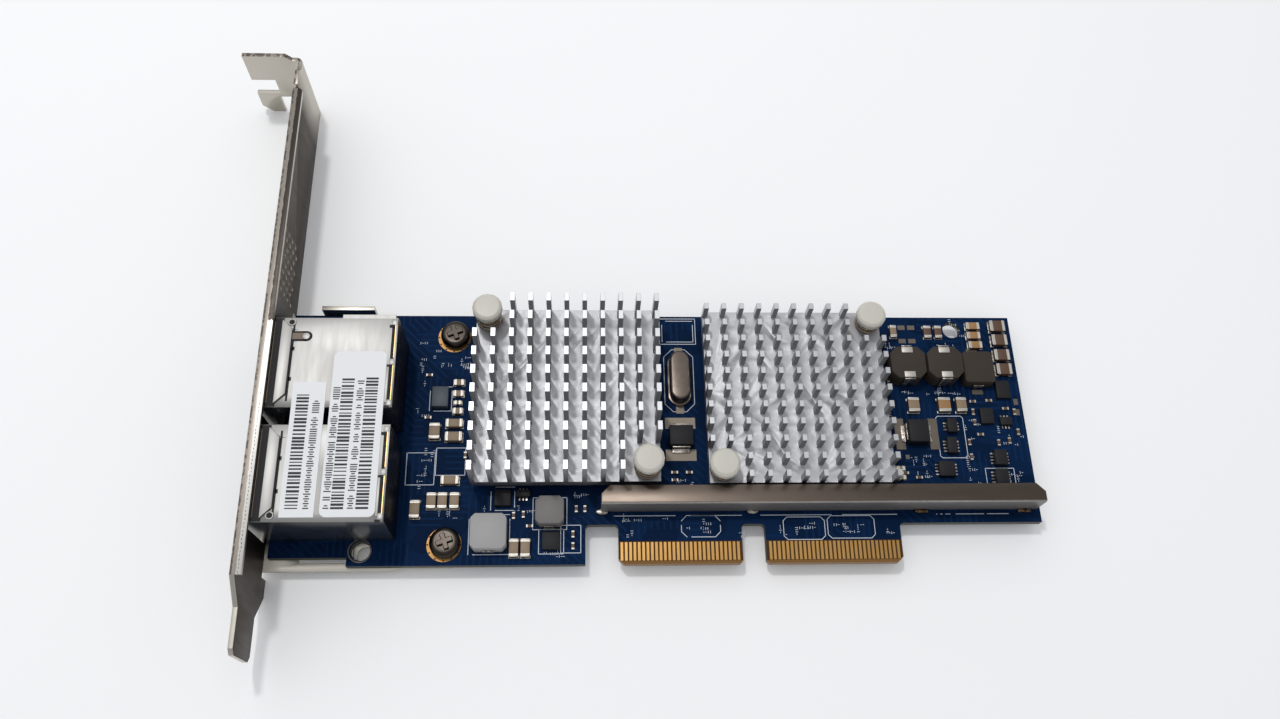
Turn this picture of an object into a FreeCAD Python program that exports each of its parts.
import FreeCAD, Part
import Sketcher
import math
import os
from types import SimpleNamespace

# A dual-port network interface card, in millimetres.
# X runs along the board away from the slot bracket, Y from the card edge to the far edge,
# Z up out of the component side. The origin is the middle of the key notch, on the card edge
# and on the solder side of the board.

os.makedirs("parts", exist_ok=True)
doc = FreeCAD.newDocument("network_card")

SIZES = {
    # circuit board
    "board_thickness": 1.57,
    "board_depth": 50.3,
    "board_far_end": 55.2,
    "bracket_to_board_gap": 1.0,
    "tab_depth": 7.4,
    "key_notch_width": 4.4,
    "left_tab_length": 23.0,
    "right_tab_length": 25.6,
    "edge_notch_width": 6.1,
    "notch_corner_radius": 0.8,
    "tab_corner_chamfer": 1.0,
    "corner_cut_length": 14.1,
    "corner_cut_depth": 1.6,
    "mounting_hole_radius": 1.8,
    "mounting_hole_x": -72.2,
    "mounting_hole_y": 2.8,
    "tooling_hole_radius": 1.75,
    "tooling_hole_x": 43.1,
    "tooling_hole_y": 47.5,
    # gold edge contacts
    "contact_pitch": 0.8,
    "contact_width": 0.56,
    "contact_length": 3.5,
    "contact_thickness": 0.1,
    "contact_setback": 0.6,
    "contact_key_offset": 3.0,
    # slot bracket, one folded sheet
    "bracket_inner_x": -89.7,
    "bracket_sheet": 0.86,
    "bracket_width": 18.42,
    "bracket_length": 120.02,
    "bracket_below_edge": 16.82,
    "bracket_drop": 4.2,
    "bend_radius": 1.3,
    "tab_reach": 11.2,
    "tab_notch_width": 4.42,
    "tab_notch_depth": 4.9,
    "tab_notch_height": 4.4,
    "tab_relief_width": 3.3,
    "tab_relief_depth": 5.2,
    "tab_relief_inset": 3.4,
    "tongue_width": 10.19,
    "tongue_taper_start": 4.8,
    "tongue_taper_end": 9.0,
    "tongue_corner": 1.0,
    "lip_depth": 1.95,
    "lip_top_gap": 8.6,
    "lip_bottom": 4.4,
    "lip_corner_radius": 0.9,
    "neck_length": 2.9,
    "neck_cut": 1.25,
    "relief_width": 1.0,
    "vent_radius": 0.65,
    "vent_pitch": 2.45,
    "vent_row_pitch": 1.75,
    "vent_start": 52.2,
    "vent_low": 1.1,
    "arm_pad_radius": 4.0,
    "arm_overhang": 0.5,
    "arm_step_start": 22.7,
    "arm_step_length": 2.5,
    "arm_slot_start": 6.2,
    "arm_slot_length": 9.7,
    "arm_slot_width": 3.0,
    "arm_eyelet_radius": 1.6,
    "arm_eyelet_shift": 0.8,
    "ear_start": 6.5,
    "ear_length": 10.3,
    "ear_rise": 1.9,
    "ear_gap": 0.3,
    # arm screws
    "screw_x": -56.9,
    "screw_low_y": 4.0,
    "screw_high_y": 45.7,
    "screw_radius": 1.45,
    "screw_head_radius": 2.85,
    "screw_head_height": 2.0,
    "screw_length": 4.0,
    "screw_recess_width": 0.75,
    "screw_recess_span": 3.2,
    "screw_recess_depth": 1.2,
    "screw_hole_clearance": 0.15,
    "thread_clearance": 0.05,
    # network jacks
    "jack_width": 17.8,
    "jack_height": 13.0,
    "jack_depth": 24.2,
    "jack_pitch": 21.04,
    "jack_first_centre": 13.66,
    "jack_front_inset": 0.4,
    "jack_shell": 0.3,
    "jack_window_clearance": 0.3,
    "port_width": 11.9,
    "port_height": 6.9,
    "port_floor": 2.2,
    "port_depth": 13.5,
    "latch_width": 6.2,
    "latch_height": 1.9,
    "latch_slot_width": 3.4,
    "latch_slot_height": 1.2,
    "spring_reach": 4.1,
    "spring_rise": 0.9,
    "spring_to_lip": 0.25,
    "spring_width": 13.0,
    "wire_pitch": 1.02,
    "wire_width": 0.4,
    "wire_rise": 1.7,
    "wire_foot": 3.0,
    "wire_run": 6.5,
    "light_width": 2.2,
    "light_height": 1.8,
    "light_depth": 6.0,
    "light_proud": 0.3,
    # paper labels over both jacks
    "label_thickness": 0.1,
    "label_front_width": 5.9,
    "label_front_length": 25.1,
    "label_rear_width": 9.5,
    "label_rear_length": 31.2,
    "label_gap": 0.9,
    "label_front_setback": 6.25,
    "label_edge_margin": 0.8,
    "label_corner_radius": 1.2,
    # heat sinks
    "sink_side": 35.2,
    "sink_base": 2.2,
    "sink_seat": 2.1,
    "sink_left_x": -34.9,
    "sink_left_y": 32.0,
    "sink_right_x": 9.35,
    "sink_right_y": 31.65,
    "sink_left_height": 9.9,
    "sink_right_height": 6.4,
    "fin_thickness": 0.9,
    "left_pin_length": 1.75,
    "right_pin_length": 1.25,
    "corner_clear": 6.2,
    "chip_side": 27.0,
    "chip_height": 2.0,
    "pad_side": 25.0,
    # push pins and their springs
    "push_pin_offset": 15.1,
    "push_pin_radius": 1.5,
    "push_pin_head_radius": 2.65,
    "push_pin_head_height": 1.7,
    "push_pin_dome": 0.5,
    "push_pin_clearance": 0.1,
    "push_pin_barb": 0.35,
    "push_pin_tip": 2.4,
    "spring_wire_radius": 0.25,
    "spring_left_length": 4.0,
    "spring_right_length": 2.2,
    "spring_left_turns": 3.5,
    "spring_right_turns": 2.5,
    # stiffener bar
    "bar_front_y": 9.86,
    "bar_start_x": -28.45,
    "bar_end_inset": 0.6,
    "bar_height": 5.5,
    "bar_flange": 3.6,
    "bar_sheet": 0.8,
    "bar_corner": 1.6,
    # crystal
    "crystal_x": -12.9,
    "crystal_y": 36.4,
    "crystal_length": 11.05,
    "crystal_width": 4.65,
    "crystal_height": 3.2,
    "crystal_base": 0.5,
    "crystal_rim": 0.35,
    # chokes and inductors
    "choke_length": 6.7,
    "choke_width": 7.0,
    "choke_height": 4.2,
    "choke_corner": 1.4,
    "choke_row_y": 38.6,
    "choke_first_x": 32.1,
    "choke_pitch": 7.4,
    "clip_width": 2.1,
    "clip_thickness": 0.25,
    "square_choke_x": 46.6,
    "square_choke_y": 38.25,
    "square_choke_length": 6.1,
    "square_choke_width": 6.7,
    "square_choke_height": 2.8,
    "square_choke_corner": 0.5,
    "large_inductor_x": -49.0,
    "large_inductor_y": 5.7,
    "large_inductor_side": 6.6,
    "small_inductor_x": -37.9,
    "small_inductor_y": 9.6,
    "small_inductor_side": 5.3,
    "inductor_height": 3.0,
    "inductor_corner": 0.8,
    "terminal_proud": 0.3,
    # surface-mount diodes
    "diode_body_length": 4.6,
    "diode_body_width": 4.0,
    "diode_height": 2.3,
    "diode_lead_width": 3.4,
    "diode_strap_thickness": 0.3,
    "diode_strap_height": 1.6,
    "diode_foot_length": 1.0,
    "left_diode_x": -13.0,
    "left_diode_y": 24.3,
    "right_diode_x": 33.1,
    "right_diode_y": 25.1,
    # chip capacitors and small packages
    "cap_end": 0.35,
    "lead_thickness": 0.2,
    "lead_reach": 0.6,
    "lead_width": 0.35,
    "lead_pitch": 0.65,
}


class Measure:
    """A number together with the sheet expression that gives it."""

    def __init__(self, value, text):
        self.value = value
        self.text = text

    def combine(self, other, sign, value):
        return Measure(value, "(%s %s %s)" % (self.text, sign, other.text))

    def __add__(self, other):
        other = measure(other)
        return self.combine(other, "+", self.value + other.value)

    def __sub__(self, other):
        other = measure(other)
        return self.combine(other, "-", self.value - other.value)

    def __mul__(self, other):
        other = measure(other)
        return self.combine(other, "*", self.value * other.value)

    def __truediv__(self, other):
        other = measure(other)
        return self.combine(other, "/", self.value / other.value)

    def __neg__(self):
        return Measure(0.0, "0") - self

    def __radd__(self, other):
        return measure(other) + self

    def __rsub__(self, other):
        return measure(other) - self

    def __rmul__(self, other):
        return measure(other) * self


def measure(number):
    """Take a plain number, or a Measure, as a Measure."""
    if isinstance(number, Measure):
        return number
    return Measure(float(number), "(%r)" % float(number))


sheet = doc.addObject("Spreadsheet::Sheet", "Sizes")
for row, (alias, number) in enumerate(SIZES.items(), start=1):
    sheet.set("A%d" % row, alias)
    sheet.set("B%d" % row, str(number))
    sheet.setAlias("B%d" % row, alias)
doc.recompute()
S = SimpleNamespace(**{alias: Measure(number, "Sizes." + alias) for alias, number in SIZES.items()})

sub_parts = []


# ---------------------------------------------------------------- helpers

def bind(thing, prop, size):
    """Tie a property of a document object to the sheet."""
    thing.setExpression(prop, measure(size).text)


def place(thing, corner):
    for axis, position in zip("xyz", corner):
        bind(thing, "Placement.Base." + axis, position)
    return thing


def box(name, corner, size):
    """A block with its low corner at corner."""
    block = doc.addObject("Part::Box", name)
    for prop, length in zip(("Length", "Width", "Height"), size):
        bind(block, prop, length)
    return place(block, corner)


def block_on(name, centre_x, centre_y, base_z, size):
    """A block centred over a point, standing on base_z."""
    length, width, height = size
    return box(name, (centre_x - measure(length) / 2, centre_y - measure(width) / 2, base_z), size)


def turned(name, centre, sides, rings):
    """An upright round piece with flat sides, through rings of given radius and height."""
    sections = []
    for index, (radius, height) in enumerate(rings):
        ring = doc.addObject("Part::RegularPolygon", "%s_ring%d" % (name, index))
        ring.Polygon = sides
        bind(ring, "Circumradius", radius)
        sections.append(place(ring, (centre[0], centre[1], centre[2] + height)))
    piece = doc.addObject("Part::Loft", name)
    piece.Sections = sections
    piece.Solid = True
    piece.Ruled = True
    return piece


def cut(name, base, tools):
    """Base less every tool."""
    result = doc.addObject("Part::Cut", name)
    result.Base = base
    result.Tool = tools[0] if len(tools) == 1 else fuse(name + "_tools", tools)
    return result


def fuse(name, pieces):
    result = doc.addObject("Part::MultiFuse", name)
    result.Shapes = pieces
    return result


def group(name, solids):
    """Separate solids that share one sub-part."""
    result = doc.addObject("Part::Compound", name)
    result.Links = solids
    return result


def sub_part(label, thing):
    """Name a finished sub-part; its label is its file name."""
    thing.Label = label
    sub_parts.append(thing)
    return thing


def new_body(name):
    return doc.addObject("PartDesign::Body", name)


def sketch_on(body, role, name, offset):
    """A sketch on one of the body's origin planes, moved out along that plane's normal."""
    sketch = body.newObject("Sketcher::SketchObject", name)
    plane = [feature for feature in body.Origin.OriginFeatures if feature.Role == role][0]
    sketch.AttachmentSupport = (plane, [""])
    sketch.MapMode = "FlatFace"
    bind(sketch, "AttachmentOffset.Base.z", offset)
    return sketch


def add_held(sketch, constraints):
    """Add constraints in one go, and tie those that carry a size to the sheet."""
    first = sketch.ConstraintCount
    sketch.addConstraint([constraint for constraint, _ in constraints])
    for index, (_, size) in enumerate(constraints, start=first):
        if size is not None:
            sketch.setExpression("Constraints[%d]" % index, size.text)


def point_at(geometry, point, corner):
    """The two constraints that hold one point of a sketch at given coordinates."""
    held = []
    for kind, coordinate in zip(("DistanceX", "DistanceY"), corner):
        coordinate = measure(coordinate)
        held.append((Sketcher.Constraint(kind, -1, 1, geometry, point, coordinate.value), coordinate))
    return held


def outline(sketch, corners):
    """A closed outline of straight lines through the corners."""
    points = [FreeCAD.Vector(measure(x).value, measure(y).value, 0) for x, y in corners]
    first = sketch.GeometryCount
    count = len(points)
    sketch.addGeometry([Part.LineSegment(points[index], points[(index + 1) % count])
                        for index in range(count)], False)
    constraints = []
    for index, corner in enumerate(corners):
        following = first + (index + 1) % count
        constraints.append((Sketcher.Constraint("Coincident", first + index, 2, following, 1), None))
        constraints += point_at(first + index, 1, corner)
    add_held(sketch, constraints)


def rectangle(sketch, low, high):
    outline(sketch, [low, (high[0], low[1]), high, (low[0], high[1])])


def circle(sketch, centre, radius):
    middle = FreeCAD.Vector(measure(centre[0]).value, measure(centre[1]).value, 0)
    radius = measure(radius)
    index = sketch.addGeometry(Part.Circle(middle, FreeCAD.Vector(0, 0, 1), radius.value), False)
    add_held(sketch, point_at(index, 3, centre) + [(Sketcher.Constraint("Radius", index, radius.value), radius)])


def many_sided(sketch, centre, radius, sides):
    """A small round hole drawn with few sides, for holes that repeat often."""
    turns = [2 * math.pi * (index + 0.5) / sides for index in range(sides)]
    outline(sketch, [(centre[0] + radius * math.cos(turn), centre[1] + radius * math.sin(turn))
                     for turn in turns])


def pad(body, name, sketch, length, reverse=False):
    feature = body.newObject("PartDesign::Pad", name)
    feature.Profile = sketch
    feature.Reversed = reverse
    bind(feature, "Length", length)
    body.Tip = feature
    return feature


def pocket(body, name, sketch, length, reverse=False):
    """Cut a sketch into the body and check that it took something away."""
    before = body.Tip
    feature = body.newObject("PartDesign::Pocket", name)
    feature.Profile = sketch
    feature.Reversed = reverse
    bind(feature, "Length", length)
    body.Tip = feature
    doc.recompute()
    if feature.Shape.Volume >= before.Shape.Volume - 1e-6:
        raise RuntimeError(name + " cuts nothing")
    return feature


def repeat(body, name, features, direction_role, length, count):
    """A linear pattern along one of the body's origin axes."""
    pattern = body.newObject("PartDesign::LinearPattern", name)
    axis = [feature for feature in body.Origin.OriginFeatures if feature.Role == direction_role][0]
    pattern.Originals = features
    pattern.Direction = (axis, [""])
    bind(pattern, "Length", length)
    pattern.Occurrences = count
    body.Tip = pattern
    return pattern


def round_edges(body, name, radius, chosen):
    """Fillet the edges of the body's last feature that the test picks."""
    doc.recompute()
    base = body.Tip
    names = ["Edge%d" % number for number, edge in enumerate(base.Shape.Edges, start=1) if chosen(edge)]
    if not names:
        raise RuntimeError(name + " finds no edge")
    feature = body.newObject("PartDesign::Fillet", name)
    feature.Base = (base, names)
    bind(feature, "Radius", radius)
    body.Tip = feature
    return feature


def runs_along(edge, axis, fixed):
    """True for a straight edge along an axis through the given fixed coordinates."""
    if edge.Curve.TypeId != "Part::GeomLine":
        return False
    low, high = edge.Vertexes[0].Point, edge.Vertexes[-1].Point
    for name in "xyz":
        here, there = getattr(low, name), getattr(high, name)
        if name == axis:
            if abs(here - there) < 1e-6:
                return False
        elif abs(here - there) > 1e-6:
            return False
        elif name in fixed and abs(here - measure(fixed[name]).value) > 1e-4:
            return False
    return True


# ---------------------------------------------------------------- shared places

top = S.board_thickness
half_key = S.key_notch_width / 2
left_tab_start = -half_key - S.left_tab_length
left_edge_end = left_tab_start - S.edge_notch_width
right_tab_end = half_key + S.right_tab_length
board_start = S.bracket_inner_x + S.bracket_to_board_gap
corner_cut_end = board_start + S.corner_cut_length

bracket_outer_x = S.bracket_inner_x - S.bracket_sheet
bracket_low = top - S.bracket_drop
bracket_high = bracket_low + S.bracket_width
bracket_end = S.bracket_length - S.bracket_below_edge

screw_rows = (S.screw_low_y, S.screw_high_y)

jack_front = bracket_outer_x + S.jack_front_inset
jack_centres = (S.jack_first_centre, S.jack_first_centre + S.jack_pitch)
jack_names = ("lower", "upper")

SINKS = (
    ("left", S.sink_left_x, S.sink_left_y, S.sink_left_height, S.left_pin_length, 10, (-1, 1),
     S.spring_left_length, S.spring_left_turns),
    ("right", S.sink_right_x, S.sink_right_y, S.sink_right_height, S.right_pin_length, 11, (1, 1),
     S.spring_right_length, S.spring_right_turns),
)
FIN_COUNT = 11
SPRING_STEPS = 10


def push_pin_places(sink):
    """The two opposite corners of a heat sink where its push pins stand."""
    side, x, y = sink[0], sink[1], sink[2]
    sign = sink[6][0]
    for direction in (1, -1):
        yield (x + sign * direction * S.push_pin_offset, y + direction * S.push_pin_offset)


# ---------------------------------------------------------------- circuit board

def circuit_board():
    body = new_body("CircuitBoard")
    sketch = sketch_on(body, "XY_Plane", "BoardOutline", 0)
    chamfer = S.tab_corner_chamfer
    outline(sketch, [
        (board_start, S.corner_cut_depth),
        (corner_cut_end, S.corner_cut_depth),
        (corner_cut_end, 0),
        (left_edge_end, 0),
        (left_edge_end, S.tab_depth),
        (left_tab_start, S.tab_depth),
        (left_tab_start, chamfer),
        (left_tab_start + chamfer, 0),
        (-half_key - chamfer / 2, 0),
        (-half_key, chamfer / 2),
        (-half_key, S.tab_depth),
        (half_key, S.tab_depth),
        (half_key, chamfer / 2),
        (half_key + chamfer / 2, 0),
        (right_tab_end - chamfer, 0),
        (right_tab_end, chamfer),
        (right_tab_end, S.tab_depth),
        (S.board_far_end, S.tab_depth),
        (S.board_far_end, S.board_depth),
        (board_start, S.board_depth),
    ])
    circle(sketch, (S.mounting_hole_x, S.mounting_hole_y), S.mounting_hole_radius)
    circle(sketch, (S.tooling_hole_x, S.tooling_hole_y), S.tooling_hole_radius)
    for y in screw_rows:
        many_sided(sketch, (S.screw_x, y), S.screw_radius + S.screw_hole_clearance, 16)
    for sink in SINKS:
        for centre in push_pin_places(sink):
            many_sided(sketch, centre, S.push_pin_radius + S.push_pin_clearance, 12)
    pad(body, "BoardPad", sketch, S.board_thickness)
    corners = [{"x": x, "y": S.tab_depth}
               for x in (left_edge_end, left_tab_start, -half_key, half_key, right_tab_end)]
    round_edges(body, "NotchCorners", S.notch_corner_radius,
                lambda edge: any(runs_along(edge, "z", corner) for corner in corners))
    sub_part("circuit_board", body)


def edge_contacts(label, base_z):
    """The two rows of gold contacts, one each side of the key notch."""
    contacts = []
    for side, count in ((-1, 28), (1, 31)):
        for index in range(count):
            centre = side * (S.contact_key_offset + index * S.contact_pitch)
            corner = (centre - S.contact_width / 2, S.contact_setback, base_z)
            size = (S.contact_width, S.contact_length, S.contact_thickness)
            contacts.append(box("%s_%d" % (label, len(contacts)), corner, size))
    sub_part(label, group(label, contacts))


# ---------------------------------------------------------------- slot bracket

def bracket():
    """One folded sheet: face plate, screw tab, tongue, stiffening lip, and arms with an ear."""
    body = new_body("Bracket")
    middle = (bracket_low + bracket_high) / 2
    tongue_low = middle - S.tongue_width / 2
    tongue_high = middle + S.tongue_width / 2
    tip = -S.bracket_below_edge
    lip_top = bracket_end - S.lip_top_gap
    neck_end = bracket_end - S.neck_length
    neck_high = bracket_high - S.neck_cut
    relief_top = lip_top + S.relief_width

    plate = sketch_on(body, "YZ_Plane", "PlateOutline", bracket_outer_x)
    outline(plate, [
        (bracket_end, bracket_low),
        (bracket_end, neck_high),
        (neck_end, neck_high),
        (neck_end - S.neck_cut, bracket_high),
        (relief_top, bracket_high),
        (relief_top, neck_high),
        (lip_top, neck_high),
        (lip_top, bracket_high),
        (-S.lip_bottom, bracket_high),
        (-S.tongue_taper_end, tongue_high),
        (tip + S.tongue_corner, tongue_high),
        (tip, tongue_high - S.tongue_corner),
        (tip, tongue_low + S.tongue_corner),
        (tip + S.tongue_corner, tongue_low),
        (-S.tongue_taper_end, tongue_low),
        (-S.tongue_taper_start, bracket_low),
    ])
    gap = S.jack_window_clearance
    for centre in jack_centres:
        rectangle(plate, (centre - S.jack_width / 2 - gap, top - gap),
                  (centre + S.jack_width / 2 + gap, top + S.jack_height + gap))
    pad(body, "Plate", plate, S.bracket_sheet)
    for row in range(2):
        vents = sketch_on(body, "YZ_Plane", "Vents%d" % row, bracket_outer_x)
        for column in range(5 - row):
            z = top + S.vent_low + (column + 0.5 * row) * S.vent_pitch
            many_sided(vents, (S.vent_start + row * S.vent_row_pitch, z), S.vent_radius, 8)
        vent_cut = pocket(body, "VentCut%d" % row, vents, S.bracket_sheet, reverse=True)
        repeat(body, "VentRows%d" % row, [vent_cut], "Y_Axis", 6 * S.vent_row_pitch, 4)

    tab = sketch_on(body, "XZ_Plane", "TabOutline", -bracket_end)
    tab_end = bracket_outer_x - S.tab_reach
    notch_low = top + S.tab_notch_height - S.tab_notch_width / 2
    notch_high = notch_low + S.tab_notch_width
    notch_end = tab_end + S.tab_notch_depth
    relief_end = bracket_low + S.tab_relief_depth
    relief_low_x = bracket_outer_x - S.tab_relief_inset - S.tab_relief_width
    outline(tab, [
        (S.bracket_inner_x, bracket_low),
        (S.bracket_inner_x, neck_high),
        (bracket_outer_x - S.bend_radius, neck_high),
        (bracket_outer_x - S.bend_radius - S.neck_cut, bracket_high),
        (tab_end, bracket_high),
        (tab_end, notch_high),
        (notch_end, notch_high),
        (notch_end, notch_low),
        (tab_end, notch_low),
        (tab_end, bracket_low + 2 * S.tongue_corner),
        (tab_end + 2 * S.tongue_corner, bracket_low),
        (relief_low_x, bracket_low),
        (relief_low_x, relief_end),
        (relief_low_x + S.tab_relief_width, relief_end),
        (relief_low_x + S.tab_relief_width, bracket_low),
    ])
    pad(body, "Tab", tab, S.bracket_sheet)
    outer = {"x": S.bracket_inner_x, "y": bracket_end}
    inner = {"x": bracket_outer_x, "y": bracket_end - S.bracket_sheet}
    round_edges(body, "BendOutside", S.bend_radius, lambda edge: runs_along(edge, "z", outer))
    round_edges(body, "BendInside", S.bend_radius - S.bracket_sheet / 2,
                lambda edge: runs_along(edge, "z", inner))

    lip = sketch_on(body, "XY_Plane", "LipOutline", bracket_high - S.bracket_sheet)
    rectangle(lip, (bracket_outer_x, -S.lip_bottom), (bracket_outer_x + S.lip_depth, lip_top))
    pad(body, "Lip", lip, S.bracket_sheet)
    lip_corner = {"x": bracket_outer_x + S.lip_depth, "y": lip_top}
    round_edges(body, "LipCorner", S.lip_corner_radius, lambda edge: runs_along(edge, "z", lip_corner))

    # Each arm is bent out of the plate's low edge, so the plate stops at the arm's level there.
    reach = S.arm_pad_radius
    low_edge = -S.arm_overhang
    low_arm_end = S.screw_low_y + reach
    far_arm_start = S.screw_high_y - reach
    far_edge = S.board_depth + S.ear_gap
    reliefs = sketch_on(body, "YZ_Plane", "ArmReliefs", bracket_outer_x)
    for low, high in ((low_edge, low_arm_end), (far_arm_start, far_edge)):
        rectangle(reliefs, (low - S.relief_width, bracket_low - 1), (low, 0))
        rectangle(reliefs, (high, bracket_low - 1), (high + S.relief_width, 0))
        rectangle(reliefs, (low, bracket_low - 1), (high, -S.bracket_sheet))
    pocket(body, "ArmReliefsCut", reliefs, S.bracket_sheet, reverse=True)

    arms = sketch_on(body, "XY_Plane", "ArmOutline", -S.bracket_sheet)
    arm_end = S.screw_x + reach
    step_start = S.bracket_inner_x + S.arm_step_start
    step_end = step_start + S.arm_step_length
    ear_low = S.bracket_inner_x + S.ear_start
    ear_high = ear_low + S.ear_length
    ear_edge = far_edge + S.bracket_sheet
    outline(arms, [
        (bracket_outer_x, low_edge), (step_start, low_edge), (step_end, S.screw_low_y - reach),
        (arm_end, S.screw_low_y - reach), (arm_end, low_arm_end), (bracket_outer_x, low_arm_end),
    ])
    slot_low = S.bracket_inner_x + S.arm_slot_start
    slot_side = low_edge + 3 * S.arm_overhang
    rectangle(arms, (slot_low, slot_side), (slot_low + S.arm_slot_length, slot_side + S.arm_slot_width))
    many_sided(arms, (S.mounting_hole_x + S.arm_eyelet_shift, S.mounting_hole_y - S.arm_eyelet_shift / 2),
               S.arm_eyelet_radius, 16)
    far_pad_edge = S.screw_high_y + reach
    outline(arms, [
        (bracket_outer_x, far_arm_start), (arm_end, far_arm_start), (arm_end, far_pad_edge),
        (step_end, far_pad_edge), (step_start, far_edge), (ear_high, far_edge),
        (ear_high, ear_edge), (ear_low, ear_edge), (ear_low, far_edge), (bracket_outer_x, far_edge),
    ])
    for y in screw_rows:
        many_sided(arms, (S.screw_x, y), S.screw_radius + S.thread_clearance, 16)
    pad(body, "Arms", arms, S.bracket_sheet)
    round_edges(body, "ArmEnds", 0.95 * reach, lambda edge: runs_along(edge, "z", {"x": arm_end}))
    arm_fold = {"x": bracket_outer_x, "z": -S.bracket_sheet}
    round_edges(body, "ArmFolds", S.bend_radius / 2, lambda edge: runs_along(edge, "y", arm_fold))

    ear = sketch_on(body, "XY_Plane", "EarOutline", -S.bracket_sheet)
    rectangle(ear, (ear_low, far_edge), (ear_high, ear_edge))
    pad(body, "Ear", ear, S.bracket_sheet + S.board_thickness + S.ear_rise)
    sub_part("bracket", body)


def arm_screw(name, x, y):
    """A pan-head cross-recess screw, down through the board into its arm."""
    shank = turned(name + "_shank", (x, y, top), 12, [(S.screw_radius, -S.screw_length), (S.screw_radius, 0)])
    high = S.screw_head_height
    head = turned(name + "_head", (x, y, top), 16, [
        (S.screw_head_radius, 0), (S.screw_head_radius, high / 2),
        (S.screw_head_radius - high / 4, 0.85 * high), (S.screw_head_radius - high / 2, high)])
    recess_z = top + S.screw_head_height - S.screw_recess_depth
    span, slot = S.screw_recess_span, S.screw_recess_width
    recess = [block_on(name + "_cross_a", x, y, recess_z, (span, slot, S.screw_head_height)),
              block_on(name + "_cross_b", x, y, recess_z, (slot, span, S.screw_head_height))]
    return cut(name, fuse(name + "_blank", [shank, head]), recess)


def arm_screws():
    screws = [arm_screw("ArmScrew%d" % index, S.screw_x, y) for index, y in enumerate(screw_rows)]
    sub_part("bracket_screws", group("ArmScrews", screws))


# ---------------------------------------------------------------- network jacks

def jack_shell(name, centre):
    """The folded sheet can round a jack: top, sides and back, with its grounding springs."""
    body = new_body("Shell_" + name)
    wall = S.jack_shell
    half = S.jack_width / 2
    section = sketch_on(body, "YZ_Plane", "ShellSection_" + name, jack_front)
    high = top + S.jack_height
    outline(section, [
        (centre - half, top), (centre - half, high), (centre + half, high), (centre + half, top),
        (centre + half - wall, top), (centre + half - wall, high - wall),
        (centre - half + wall, high - wall), (centre - half + wall, top),
    ])
    pad(body, "ShellWrap_" + name, section, S.jack_depth)
    back = sketch_on(body, "YZ_Plane", "ShellBack_" + name, jack_front + S.jack_depth)
    rectangle(back, (centre - half, top), (centre + half, high))
    pad(body, "ShellBackPad_" + name, back, wall, reverse=True)
    # The grounding spring is a leaf that rises from the roof towards the bracket.
    leaf = sketch_on(body, "XZ_Plane", "Leaf_" + name, -(centre + S.spring_width / 2))
    tip_x = bracket_outer_x + S.lip_depth + S.spring_to_lip
    root_x = tip_x + S.spring_reach
    outline(leaf, [
        (root_x, high - wall / 2), (root_x + wall, high - wall / 2), (root_x + wall, high),
        (tip_x, high + S.spring_rise), (tip_x, high + S.spring_rise - wall),
    ])
    pad(body, "LeafPad_" + name, leaf, S.spring_width)
    sub_part("jack_shell_" + name, body)


def jack_housing(name, centre):
    """The moulded insert with its plug cavity, latch recess and light-pipe pockets."""
    wall = S.jack_shell
    width = S.jack_width - 2 * wall
    height = S.jack_height - wall
    depth = S.jack_depth - wall
    label = "Housing_" + name
    blank = box(label + "_blank", (jack_front, centre - width / 2, top), (depth, width, height))
    floor = top + S.port_floor
    reach = S.port_depth
    roof = floor + S.port_height
    cuts = [
        box(label + "_port", (jack_front - 1, centre - S.port_width / 2, floor),
            (reach + 1, S.port_width, S.port_height)),
        box(label + "_latch", (jack_front - 1, centre - S.latch_width / 2, roof),
            (reach + 1, S.latch_width, S.latch_height)),
        box(label + "_slot", (jack_front - 1, centre - S.latch_slot_width / 2, roof + S.latch_height),
            (reach + 1, S.latch_slot_width, S.latch_slot_height)),
    ]
    for side in (-1, 1):
        low = light_low_y(centre, side)
        cuts.append(box(label + "_light%d" % side, (jack_front - 1, low, light_low_z()),
                        (S.light_depth + 1, S.light_width, S.light_height)))
    sub_part("jack_housing_" + name, cut(label, blank, cuts))


def light_low_z():
    return top + S.jack_height - S.jack_shell - S.light_height - 0.4


def light_low_y(centre, side):
    inset = S.jack_width / 2 - S.jack_shell - 0.4 - S.light_width / 2
    return centre + side * inset - S.light_width / 2


def jack_contacts(name, centre):
    """Eight spring wires that lie on the port floor and rise towards the back."""
    wires = []
    floor = top + S.port_floor
    start = jack_front + S.port_depth - S.wire_foot - S.wire_run
    for index in range(8):
        y = centre + (index - 3.5) * S.wire_pitch
        body = new_body("Wire_%s_%d" % (name, index))
        side = sketch_on(body, "XZ_Plane", "WireSide_%s_%d" % (name, index), -(y + S.wire_width / 2))
        outline(side, [
            (start + S.wire_run, floor),
            (start + S.wire_run + S.wire_foot, floor),
            (start + S.wire_run + S.wire_foot, floor + S.wire_width),
            (start + S.wire_run, floor + S.wire_width),
            (start, floor + S.wire_rise + S.wire_width),
            (start, floor + S.wire_rise),
        ])
        pad(body, "WirePad_%s_%d" % (name, index), side, S.wire_width)
        wires.append(body)
    sub_part("jack_contacts_" + name, group("JackContacts_" + name, wires))


def light_pipes():
    pipes = []
    for name, centre in zip(jack_names, jack_centres):
        for side in (-1, 1):
            corner = (jack_front - S.light_proud, light_low_y(centre, side), light_low_z())
            size = (S.light_depth + S.light_proud, S.light_width, S.light_height)
            pipes.append(box("LightPipe_%s_%d" % (name, side), corner, size))
    sub_part("jack_light_pipes", group("LightPipes", pipes))


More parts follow.
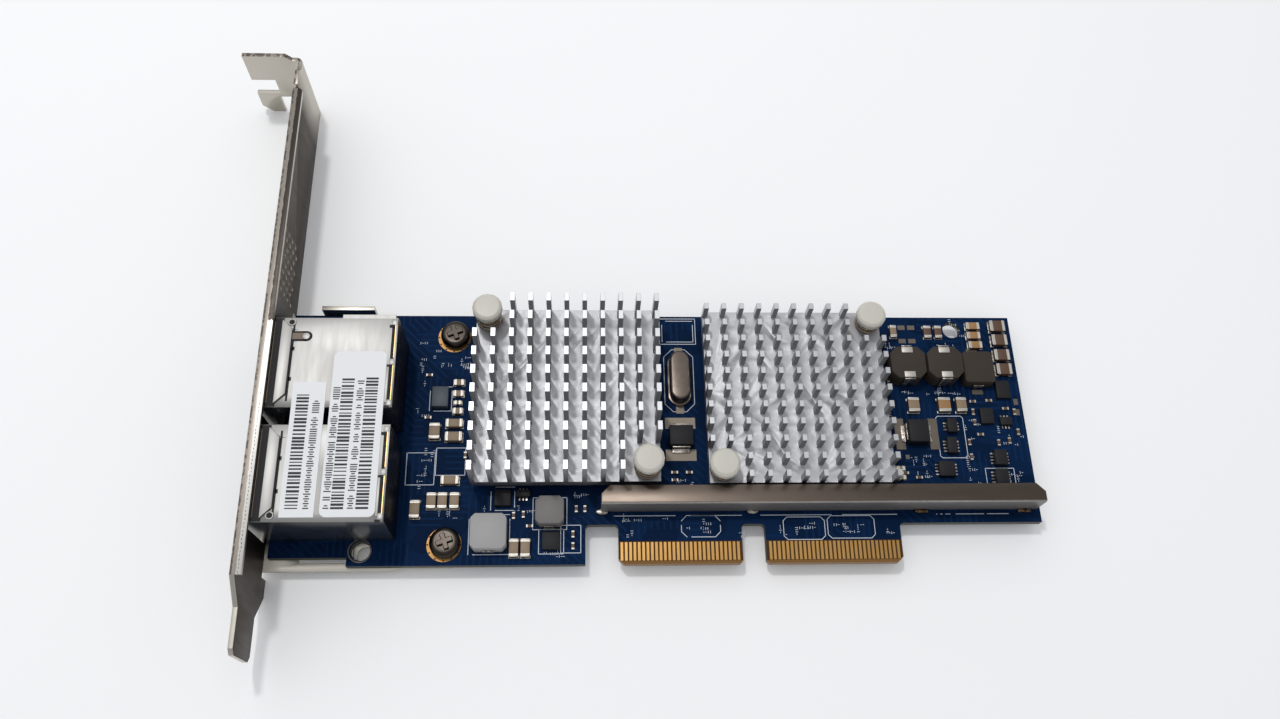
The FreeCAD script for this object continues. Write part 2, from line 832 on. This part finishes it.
def label(name, low, size, radius):
    """A paper label: a thin sheet with rounded corners."""
    body = new_body("Body_" + name)
    sketch = sketch_on(body, "XY_Plane", "Outline_" + name, top + S.jack_height)
    rectangle(sketch, low, (low[0] + size[0], low[1] + size[1]))
    pad(body, "Pad_" + name, sketch, S.label_thickness)
    if radius:
        round_edges(body, "Corners_" + name, radius, lambda edge: runs_along(edge, "z", {}))
    sub_part(name, body)


def labels():
    low_y = jack_centres[0] - S.jack_width / 2 + S.label_edge_margin
    front_x = jack_front + S.label_front_setback
    rear_x = front_x + S.label_front_width + S.label_gap
    label("label_front", (front_x, low_y), (S.label_front_width, S.label_front_length), None)
    label("label_rear", (rear_x, low_y), (S.label_rear_width, S.label_rear_length),
          S.label_corner_radius)


# ---------------------------------------------------------------- heat sinks

def heat_sink(sink):
    """A pin-fin sink: a base with fins, cross cuts that leave pins, and two cleared corners."""
    side, x, y, height, pin_length, row_count, corner, _, _ = sink
    body = new_body("Sink_" + side)
    low_x = x - S.sink_side / 2
    low_y = y - S.sink_side / 2
    base_z = top + S.sink_seat
    base = sketch_on(body, "XY_Plane", "SinkBase_" + side, base_z)
    rectangle(base, (low_x, low_y), (low_x + S.sink_side, low_y + S.sink_side))
    for centre in push_pin_places(sink):
        many_sided(base, centre, S.push_pin_radius + S.push_pin_clearance, 12)
    pad(body, "SinkBasePad_" + side, base, S.sink_base)
    fin = sketch_on(body, "XY_Plane", "Fin_" + side, base_z + S.sink_base)
    rectangle(fin, (low_x, low_y), (low_x + S.fin_thickness, low_y + S.sink_side))
    fin_pad = pad(body, "FinPad_" + side, fin, height - S.sink_base)
    repeat(body, "Fins_" + side, [fin_pad], "X_Axis", S.sink_side - S.fin_thickness, FIN_COUNT)
    pitch = (S.sink_side - pin_length) / (row_count - 1)
    gap = sketch_on(body, "XY_Plane", "Gap_" + side, base_z + S.sink_base)
    rectangle(gap, (low_x - 1, low_y + pin_length),
              (low_x + S.sink_side + 1, low_y + pitch))
    gap_cut = pocket(body, "GapCut_" + side, gap, height, reverse=True)
    repeat(body, "Gaps_" + side, [gap_cut], "Y_Axis", pitch * (row_count - 2), row_count - 1)
    clear = sketch_on(body, "XY_Plane", "Corners_" + side, base_z + S.sink_base)
    for direction in (1, -1):
        reach_x = corner[0] * direction
        edge_x = x + reach_x * S.sink_side / 2
        edge_y = y + direction * S.sink_side / 2
        inner = (edge_x - reach_x * S.corner_clear, edge_y - direction * S.corner_clear)
        outer = (edge_x + reach_x * 1.0, edge_y + direction * 1.0)
        rectangle(clear, inner, outer)
    pocket(body, "CornersCut_" + side, clear, height, reverse=True)
    sub_part("heat_sink_" + side, body)


def controller_chips():
    pads = []
    for sink in SINKS:
        side, x, y = sink[0], sink[1], sink[2]
        chip = block_on("Chip_" + side, x, y, top, (S.chip_side, S.chip_side, S.chip_height))
        sub_part("controller_chip_" + side, chip)
        gap = S.sink_seat - S.chip_height
        pads.append(block_on("Pad_" + side, x, y, top + S.chip_height, (S.pad_side, S.pad_side, gap)))
    sub_part("thermal_pads", group("ThermalPads", pads))


def push_pin(name, x, y, head_z):
    """A nylon push pin: domed head, stem through sink and board, and a barbed tip."""
    dome = S.push_pin_dome
    high = S.push_pin_head_height
    head = turned(name + "_head", (x, y, head_z), 16, [
        (S.push_pin_head_radius, 0), (S.push_pin_head_radius, high - dome),
        (S.push_pin_head_radius - dome, high)])
    stem = turned(name + "_stem", (x, y, 0), 8, [(S.push_pin_radius, 0), (S.push_pin_radius, head_z)])
    tip = turned(name + "_tip", (x, y, 0), 8, [
        (S.push_pin_radius - S.push_pin_barb, -S.push_pin_tip), (S.push_pin_radius + S.push_pin_barb, 0)])
    return fuse(name, [head, stem, tip])


def coil_spring(name, x, y, base_z, length, turns):
    """A compression spring: a six-sided wire that climbs round its pin in short straight steps."""
    wire = S.spring_wire_radius.value
    radius = S.push_pin_radius.value + 2 * wire
    steps = round(turns.value * SPRING_STEPS)
    sections = []
    for step in range(steps + 1):
        angle = 2 * math.pi * step / SPRING_STEPS
        outward = FreeCAD.Vector(math.cos(angle), math.sin(angle), 0)
        up = FreeCAD.Vector(0, 0, 1)
        climb = wire + (length.value - 2 * wire) * step / steps
        middle = outward * radius + up * climb
        corners = [middle + wire * (outward * math.cos(turn) + up * math.sin(turn))
                   for turn in [math.pi * side / 3 + math.pi / 6 for side in range(6)]]
        sections.append(Part.makePolygon(corners + corners[:1]))
    coil = doc.addObject("Part::Feature", name)
    coil.Shape = Part.makeLoft(sections, True, True)
    return place(coil, (x, y, base_z))


def push_pins():
    for sink in SINKS:
        side, length, turns = sink[0], sink[7], sink[8]
        base_z = top + S.sink_seat + S.sink_base
        pins = []
        springs = []
        for index, (x, y) in enumerate(push_pin_places(sink)):
            pins.append(push_pin("PushPin_%s_%d" % (side, index), x, y, base_z + length))
            springs.append(coil_spring("Spring_%s_%d" % (side, index), x, y, base_z, length, turns))
        sub_part("push_pins_" + side, group("PushPins_" + side, pins))
        sub_part("pin_springs_" + side, group("PinSprings_" + side, springs))


# ---------------------------------------------------------------- stiffener bar

def stiffener_bar():
    """A folded angle that stands on the board, with the corners of its flange cut off."""
    body = new_body("Bar")
    section = sketch_on(body, "YZ_Plane", "BarSection", S.bar_start_x)
    front = S.bar_front_y
    back = front + S.bar_flange
    high = top + S.bar_height
    outline(section, [
        (front, top), (front, high), (back, high), (back, high - S.bar_sheet),
        (front + S.bar_sheet, high - S.bar_sheet), (front + S.bar_sheet, top),
    ])
    end = S.board_far_end - S.bar_end_inset
    pad(body, "BarPad", section, end - S.bar_start_x)
    fold = {"y": front, "z": high}
    round_edges(body, "BarFold", S.bar_sheet / 2, lambda edge: runs_along(edge, "x", fold))
    corners = sketch_on(body, "XY_Plane", "BarCorners", high)
    for x, sign in ((S.bar_start_x, 1), (end, -1)):
        outline(corners, [(x, back - S.bar_corner), (x + sign * S.bar_corner, back),
                          (x + sign * S.bar_corner, back + 1), (x - sign * 1.0, back + 1),
                          (x - sign * 1.0, back - S.bar_corner)])
    pocket(body, "BarCornersCut", corners, 2 * S.bar_sheet)
    sub_part("stiffener_bar", body)


# ---------------------------------------------------------------- small parts

def crystal():
    def obround(name, radius, base_z, height):
        straight = S.crystal_length - S.crystal_width
        ends = [turned(name + "_end%d" % sign, (S.crystal_x, S.crystal_y + sign * straight / 2, base_z),
                       24, [(radius, 0), (radius, height)]) for sign in (-1, 1)]
        middle = block_on(name + "_middle", S.crystal_x, S.crystal_y, base_z,
                          (2 * radius, straight, height))
        return fuse(name, ends + [middle])

    outer = S.crystal_width / 2
    sub_part("crystal_base", obround("CrystalBase", outer, top, S.crystal_base))
    sub_part("crystal_can", obround("CrystalCan", outer - S.crystal_rim, top + S.crystal_base,
                                    S.crystal_height - S.crystal_base))


def cut_corner_block(name, x, y, size, corner):
    """A moulded block whose four upright corners are cut off."""
    length, width, height = size
    body = new_body(name)
    sketch = sketch_on(body, "XY_Plane", name + "_outline", top)
    half_x = length / 2
    half_y = width / 2
    outline(sketch, [
        (x - half_x + corner, y - half_y), (x + half_x - corner, y - half_y),
        (x + half_x, y - half_y + corner), (x + half_x, y + half_y - corner),
        (x + half_x - corner, y + half_y), (x - half_x + corner, y + half_y),
        (x - half_x, y + half_y - corner), (x - half_x, y - half_y + corner),
    ])
    pad(body, name + "_pad", sketch, height)
    return body


def end_clips(name, x, y, side, height):
    """The two solder clips of a choke, up both ends of its body."""
    clips = []
    for sign in (-1, 1):
        edge = y + sign * side / 2
        low = edge if sign > 0 else edge - S.clip_thickness
        clips.append(box("%s_clip%d" % (name, sign), (x - S.clip_width / 2, low, top),
                         (S.clip_width, S.clip_thickness, height)))
    return clips


def chokes():
    clips = []
    bodies = []
    for index in range(2):
        x = S.choke_first_x + index * S.choke_pitch
        name = "Choke%d" % index
        size = (S.choke_width, S.choke_length, S.choke_height)
        bodies.append(cut_corner_block(name, x, S.choke_row_y, size, S.choke_corner))
        clips += end_clips(name, x, S.choke_row_y, S.choke_length, S.choke_height)
    sub_part("choke_bodies", group("Chokes", bodies))

    size = (S.square_choke_length, S.square_choke_width, S.square_choke_height)
    sub_part("square_choke", cut_corner_block("SquareChoke", S.square_choke_x, S.square_choke_y,
                                              size, S.square_choke_corner))
    clips += end_clips("SquareChoke", S.square_choke_x, S.square_choke_y, S.square_choke_width,
                       S.square_choke_height / 2)

    for size_name, x, y, side in (
            ("large", S.large_inductor_x, S.large_inductor_y, S.large_inductor_side),
            ("small", S.small_inductor_x, S.small_inductor_y, S.small_inductor_side)):
        name = "Inductor_" + size_name
        moulded = cut_corner_block(name, x, y, (side, side, S.inductor_height), S.inductor_corner)
        sub_part("inductor_" + size_name, moulded)
        clips += end_clips(name, x, y, side, S.inductor_height / 2)
    sub_part("choke_clips", group("ChokeClips", clips))


def diodes():
    """Each diode has a lead down two opposite sides, ending in a foot."""
    feet = []
    for side, x, y, across in (("left", S.left_diode_x, S.left_diode_y, "y"),
                               ("right", S.right_diode_x, S.right_diode_y, "x")):
        length, width = S.diode_body_length, S.diode_body_width
        if across == "x":
            length, width = width, length
        sub_part("diode_" + side, block_on("Diode_" + side, x, y, top, (length, width, S.diode_height)))
        strap = S.diode_strap_thickness
        for sign in (-1, 1):
            name = "DiodeLead_%s_%d" % (side, sign)
            foot = S.diode_foot_length
            if across == "x":
                strap_at = (x + sign * (length / 2 + strap / 2), y)
                foot_at = (x + sign * (length / 2 + foot / 2), y)
                strap_size = (strap, S.diode_lead_width, S.diode_strap_height)
                foot_size = (foot, S.diode_lead_width, strap)
            else:
                strap_at = (x, y + sign * (width / 2 + strap / 2))
                foot_at = (x, y + sign * (width / 2 + foot / 2))
                strap_size = (S.diode_lead_width, strap, S.diode_strap_height)
                foot_size = (S.diode_lead_width, foot, strap)
            feet.append(fuse(name, [block_on(name + "_strap", *strap_at, top, strap_size),
                                    block_on(name + "_foot", *foot_at, top, foot_size)]))
    sub_part("diode_leads", group("DiodeLeads", feet))


# Chip capacitors: centre x and y, then length, width and height. The end caps are on the
# long axis.
CAPACITORS = (
    (-55.8, 35.7, 2.1, 1.2, 0.8), (-55.8, 33.4, 2.1, 1.2, 0.8), (-55.9, 31.6, 1.6, 0.8, 0.5),
    (-55.8, 29.8, 2.0, 1.2, 0.8), (-56.3, 27.2, 3.3, 1.6, 1.2), (-56.3, 24.5, 3.3, 1.8, 1.2),
    (-59.95, 25.6, 2.0, 3.2, 1.2), (-56.6, 15.9, 3.4, 1.6, 1.2), (-59.85, 12.0, 1.7, 3.1, 1.0),
    (-57.8, 12.0, 1.7, 3.1, 1.0), (-55.6, 12.0, 1.7, 3.1, 1.0), (-62.8, 10.4, 1.8, 3.4, 1.0),
    (-44.4, 3.0, 1.7, 3.4, 1.0), (-42.3, 3.0, 1.7, 3.4, 1.0),
    (30.9, 46.9, 1.3, 2.7, 0.8), (37.9, 46.8, 1.5, 2.7, 0.8), (40.1, 46.8, 1.4, 2.7, 0.8),
    (47.4, 48.1, 2.8, 1.5, 0.9), (47.3, 46.0, 2.8, 1.5, 0.9), (47.4, 43.9, 2.8, 1.5, 0.9),
    (52.4, 48.0, 3.1, 2.3, 1.2), (52.4, 44.9, 3.1, 2.3, 1.2), (52.4, 41.6, 3.1, 2.3, 1.2),
    (52.4, 38.5, 3.1, 2.3, 1.2),
    (33.1, 30.9, 2.2, 3.0, 1.2), (39.2, 30.9, 2.4, 3.0, 1.2), (42.6, 30.9, 2.0, 3.0, 1.2),
    (29.2, 18.0, 1.7, 0.9, 0.5), (29.2, 16.2, 1.7, 0.9, 0.5),
)


def capacitors():
    bodies = []
    ends = []
    for index, (x, y, length, width, height) in enumerate(CAPACITORS):
        name = "Cap%d" % index
        along_x = length > width
        if along_x:
            size = (length - 2 * S.cap_end, width, height)
            end_size = (S.cap_end, width, height)
        else:
            size = (length, width - 2 * S.cap_end, height)
            end_size = (length, S.cap_end, height)
        bodies.append(block_on(name, x, y, top, size))
        for sign in (-1, 1):
            end_x = x + sign * (length - S.cap_end) / 2 if along_x else measure(x)
            end_y = measure(y) if along_x else y + sign * (width - S.cap_end) / 2
            ends.append(block_on("%s_end%d" % (name, sign), end_x, end_y, top, end_size))
    sub_part("capacitor_bodies", group("Capacitors", bodies))
    sub_part("capacitor_ends", group("CapacitorEnds", ends))


# Small packages: name, centre x and y, length, width, height, leads a side, and the axis
# across which the leads stand out ("x", "y", or "" for a package with none).
PACKAGES = (
    ("regulator", -46.7, 12.5, 3.0, 3.1, 0.9, 0, ""),
    ("switch", -42.9, 13.3, 2.6, 1.3, 1.0, 3, "y"),
    ("driver", -37.6, 4.3, 3.3, 3.3, 0.9, 0, ""),
    ("oscillator", -59.2, 32.5, 3.1, 4.1, 1.5, 0, ""),
    ("converter", 51.5, 34.2, 2.7, 3.7, 0.9, 0, ""),
    ("sensor", 47.5, 28.6, 2.6, 3.2, 0.9, 0, ""),
    ("reference", 51.1, 27.5, 2.3, 1.6, 1.0, 3, "y"),
    ("supervisor", 40.2, 26.6, 1.9, 2.8, 1.2, 3, "x"),
    ("memory", 39.7, 22.5, 1.9, 3.2, 1.2, 4, "x"),
    ("logic", 38.1, 17.8, 3.1, 3.0, 1.0, 4, "x"),
    ("transistor", 48.9, 20.0, 2.4, 3.0, 1.2, 4, "x"),
    ("monitor", 48.6, 16.2, 2.5, 3.0, 1.2, 4, "x"),
)


def package_leads(package):
    """Flat leads along two opposite sides of a package."""
    name, x, y, length, width, _, count, axis = package
    for sign in (-1, 1):
        for index in range(count):
            along = (index - (count - 1) / 2) * S.lead_pitch
            reach = S.lead_reach / 2
            if axis == "x":
                centre = (x + sign * (length / 2 + reach), y + along)
                size = (S.lead_reach, S.lead_width, S.lead_thickness)
            else:
                centre = (x + along, y + sign * (width / 2 + reach))
                size = (S.lead_width, S.lead_reach, S.lead_thickness)
            yield block_on("%s_lead%d_%d" % (name, sign, index), centre[0], centre[1], top, size)


def packages():
    bodies = []
    leads = []
    for package in PACKAGES:
        name, x, y, length, width, height = package[:6]
        bodies.append(block_on("Package_" + name, x, y, top, (length, width, height)))
        leads += list(package_leads(package))
    sub_part("package_bodies", group("Packages", bodies))
    sub_part("package_leads", group("PackageLeads", leads))


# ---------------------------------------------------------------- build and export

circuit_board()
edge_contacts("edge_contacts_front", top)
edge_contacts("edge_contacts_back", -S.contact_thickness)
bracket()
arm_screws()
for jack_name, jack_centre in zip(jack_names, jack_centres):
    jack_shell(jack_name, jack_centre)
    jack_housing(jack_name, jack_centre)
    jack_contacts(jack_name, jack_centre)
light_pipes()
labels()
for heat_sink_sizes in SINKS:
    heat_sink(heat_sink_sizes)
controller_chips()
push_pins()
stiffener_bar()
crystal()
chokes()
diodes()
capacitors()
packages()
doc.recompute()

for thing in doc.Objects:
    if "Invalid" in thing.State or "Error" in thing.State:
        raise RuntimeError("%s failed: %s" % (thing.Label, thing.State))
for thing in sub_parts:
    if thing.Shape.isNull() or not thing.Shape.isValid():
        raise RuntimeError(thing.Label + " has no sound shape")
for thing in sub_parts:
    thing.Shape.exportStep("parts/%s.step" % thing.Label)
print("%d sub-parts written" % len(sub_parts))
